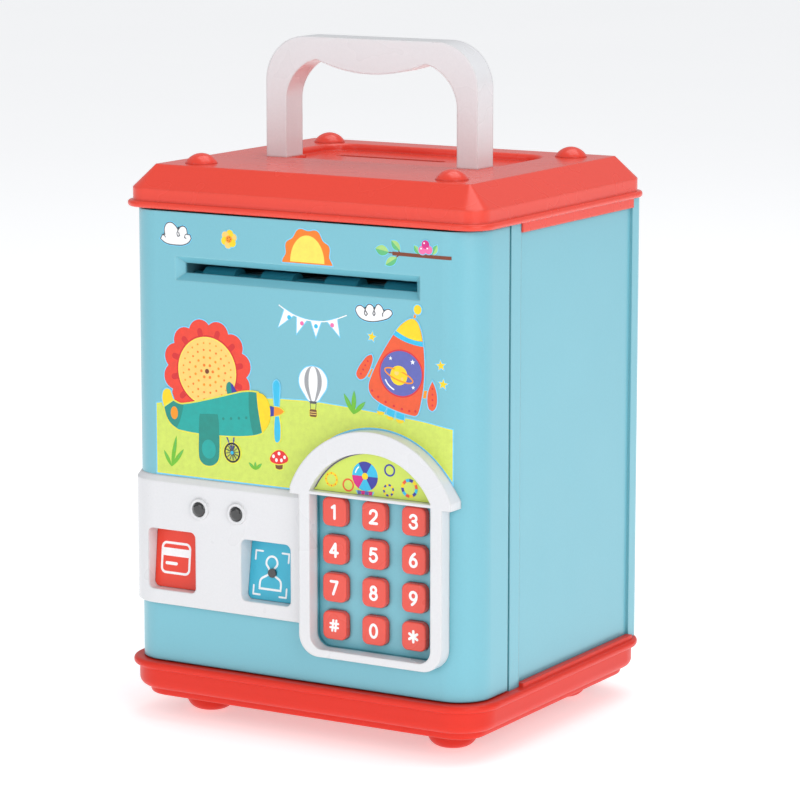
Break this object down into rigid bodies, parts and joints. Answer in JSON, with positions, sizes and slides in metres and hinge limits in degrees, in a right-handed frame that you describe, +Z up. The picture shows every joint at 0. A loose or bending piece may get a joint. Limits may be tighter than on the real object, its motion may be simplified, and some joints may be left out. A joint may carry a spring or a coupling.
{
  "type": "toy cash machine savings bank",
  "caption": "Upright toy cash machine money box with a swinging front door, rounded number keys, a note slot with feed rollers, a coin slot in the lid and a carrying handle.",
  "frame": {"origin": "bottom centre of the overall box, on the surface that the feet stand on", "axes": "+X to the right seen from the front, +Y to the back, +Z up"},
  "size_m": [0.137, 0.1225, 0.2227],
  "materials": {
    "red_plastic": "glossy",
    "blue_plastic": "glossy",
    "white_plastic": "glossy",
    "key_red": "glossy, white printed digits",
    "grey_plastic": "fine texture",
    "printed_card": "printed card",
    "teal_plastic": "glossy",
    "plate_red": "glossy, white print",
    "plate_blue": "glossy, white print",
    "black_lens": "polished",
    "steel": "zinc plated",
    "circuit_board": "board with components",
    "grey_rubber": "matt",
    "motor_can": "drawn can",
    "spring_brass": "plated",
    "cell_sleeve": "printed sleeve"
  },
  "bodies": {
    "case": {"rear_shell": "blue_plastic", "base": "red_plastic", "feet": "red_plastic", "base_screws": "steel", "lid": "red_plastic", "lid_studs": "red_plastic", "lid_screws": "steel", "handle": "white_plastic", "handle_screws": "steel", "coin_chute": "grey_plastic", "hinge_pins": "steel"},
    "door": {"door_shell": "blue_plastic", "door_back_cover": "grey_plastic", "door_screws": "steel", "keypad_frame": "white_plastic", "window_card": "printed_card", "keypad_plate": "blue_plastic", "key_mat": "grey_rubber", "keypad_pcb": "circuit_board", "lower_panel": "white_plastic", "card_plate": "plate_red", "face_plate": "plate_blue", "face_sensor": "black_lens", "indicator_lamps": "black_lens", "roller_bracket": "blue_plastic", "feed_motor": "motor_can", "latch_solenoid": "motor_can", "speaker": "motor_can", "battery_box": "grey_plastic", "batteries": "cell_sleeve", "battery_contacts": "spring_brass"},
    "key_1": {"key_1": "key_red"},
    "key_2": {"key_2": "key_red"},
    "key_3": {"key_3": "key_red"},
    "key_4": {"key_4": "key_red"},
    "key_5": {"key_5": "key_red"},
    "key_6": {"key_6": "key_red"},
    "key_7": {"key_7": "key_red"},
    "key_8": {"key_8": "key_red"},
    "key_9": {"key_9": "key_red"},
    "key_hash": {"key_hash": "key_red"},
    "key_0": {"key_0": "key_red"},
    "key_star": {"key_star": "key_red"},
    "note_roller": {"note_roller": "teal_plastic"},
    "idler_roller": {"idler_roller": "teal_plastic"},
    "motor_pinion": {"motor_pinion": "white_plastic"},
    "latch_bolt": {"latch_bolt": "steel"},
    "battery_cover": {"battery_cover": "grey_plastic"}
  },
  "joints": [
    {"name": "door_hinge", "type": "hinge", "parent": "case", "child": "door", "pos_m": [-0.0615, -0.0476, 0.094], "axis": [0, 0, -1], "range_deg": [0, 110]},
    {"name": "key_1_press", "type": "slide", "parent": "door", "child": "key_1", "axis": [0, 1, 0], "range_m": [0, 0.0015], "stiffness_N_per_m": 500, "springref_m": -0.0008},
    {"name": "key_2_press", "type": "slide", "parent": "door", "child": "key_2", "axis": [0, 1, 0], "range_m": [0, 0.0015], "stiffness_N_per_m": 500, "springref_m": -0.0008},
    {"name": "key_3_press", "type": "slide", "parent": "door", "child": "key_3", "axis": [0, 1, 0], "range_m": [0, 0.0015], "stiffness_N_per_m": 500, "springref_m": -0.0008},
    {"name": "key_4_press", "type": "slide", "parent": "door", "child": "key_4", "axis": [0, 1, 0], "range_m": [0, 0.0015], "stiffness_N_per_m": 500, "springref_m": -0.0008},
    {"name": "key_5_press", "type": "slide", "parent": "door", "child": "key_5", "axis": [0, 1, 0], "range_m": [0, 0.0015], "stiffness_N_per_m": 500, "springref_m": -0.0008},
    {"name": "key_6_press", "type": "slide", "parent": "door", "child": "key_6", "axis": [0, 1, 0], "range_m": [0, 0.0015], "stiffness_N_per_m": 500, "springref_m": -0.0008},
    {"name": "key_7_press", "type": "slide", "parent": "door", "child": "key_7", "axis": [0, 1, 0], "range_m": [0, 0.0015], "stiffness_N_per_m": 500, "springref_m": -0.0008},
    {"name": "key_8_press", "type": "slide", "parent": "door", "child": "key_8", "axis": [0, 1, 0], "range_m": [0, 0.0015], "stiffness_N_per_m": 500, "springref_m": -0.0008},
    {"name": "key_9_press", "type": "slide", "parent": "door", "child": "key_9", "axis": [0, 1, 0], "range_m": [0, 0.0015], "stiffness_N_per_m": 500, "springref_m": -0.0008},
    {"name": "key_hash_press", "type": "slide", "parent": "door", "child": "key_hash", "axis": [0, 1, 0], "range_m": [0, 0.0015], "stiffness_N_per_m": 500, "springref_m": -0.0008},
    {"name": "key_0_press", "type": "slide", "parent": "door", "child": "key_0", "axis": [0, 1, 0], "range_m": [0, 0.0015], "stiffness_N_per_m": 500, "springref_m": -0.0008},
    {"name": "key_star_press", "type": "slide", "parent": "door", "child": "key_star", "axis": [0, 1, 0], "range_m": [0, 0.0015], "stiffness_N_per_m": 500, "springref_m": -0.0008},
    {"name": "note_roller_spin", "type": "hinge", "parent": "door", "child": "note_roller", "pos_m": [0, -0.046, 0.14585], "axis": [1, 0, 0], "continuous": true},
    {"name": "idler_roller_spin", "type": "hinge", "parent": "door", "child": "idler_roller", "pos_m": [0, -0.046, 0.15475], "axis": [1, 0, 0], "continuous": true},
    {"name": "motor_pinion_spin", "type": "hinge", "parent": "door", "child": "motor_pinion", "pos_m": [0, -0.046, 0.13585], "axis": [1, 0, 0], "continuous": true},
    {"name": "latch_bolt_slide", "type": "slide", "parent": "door", "child": "latch_bolt", "axis": [0, 0, 1], "range_m": [0, 0.004]},
    {"name": "battery_cover_lift_off", "type": "slide", "parent": "door", "child": "battery_cover", "axis": [0, 1, 0], "range_m": [0, 0.02]}
  ],
  "couplings": [
    {"joint": "idler_roller_spin", "follows": "note_roller_spin", "ratio": -1},
    {"joint": "motor_pinion_spin", "follows": "note_roller_spin", "ratio": -2.3333}
  ]
}
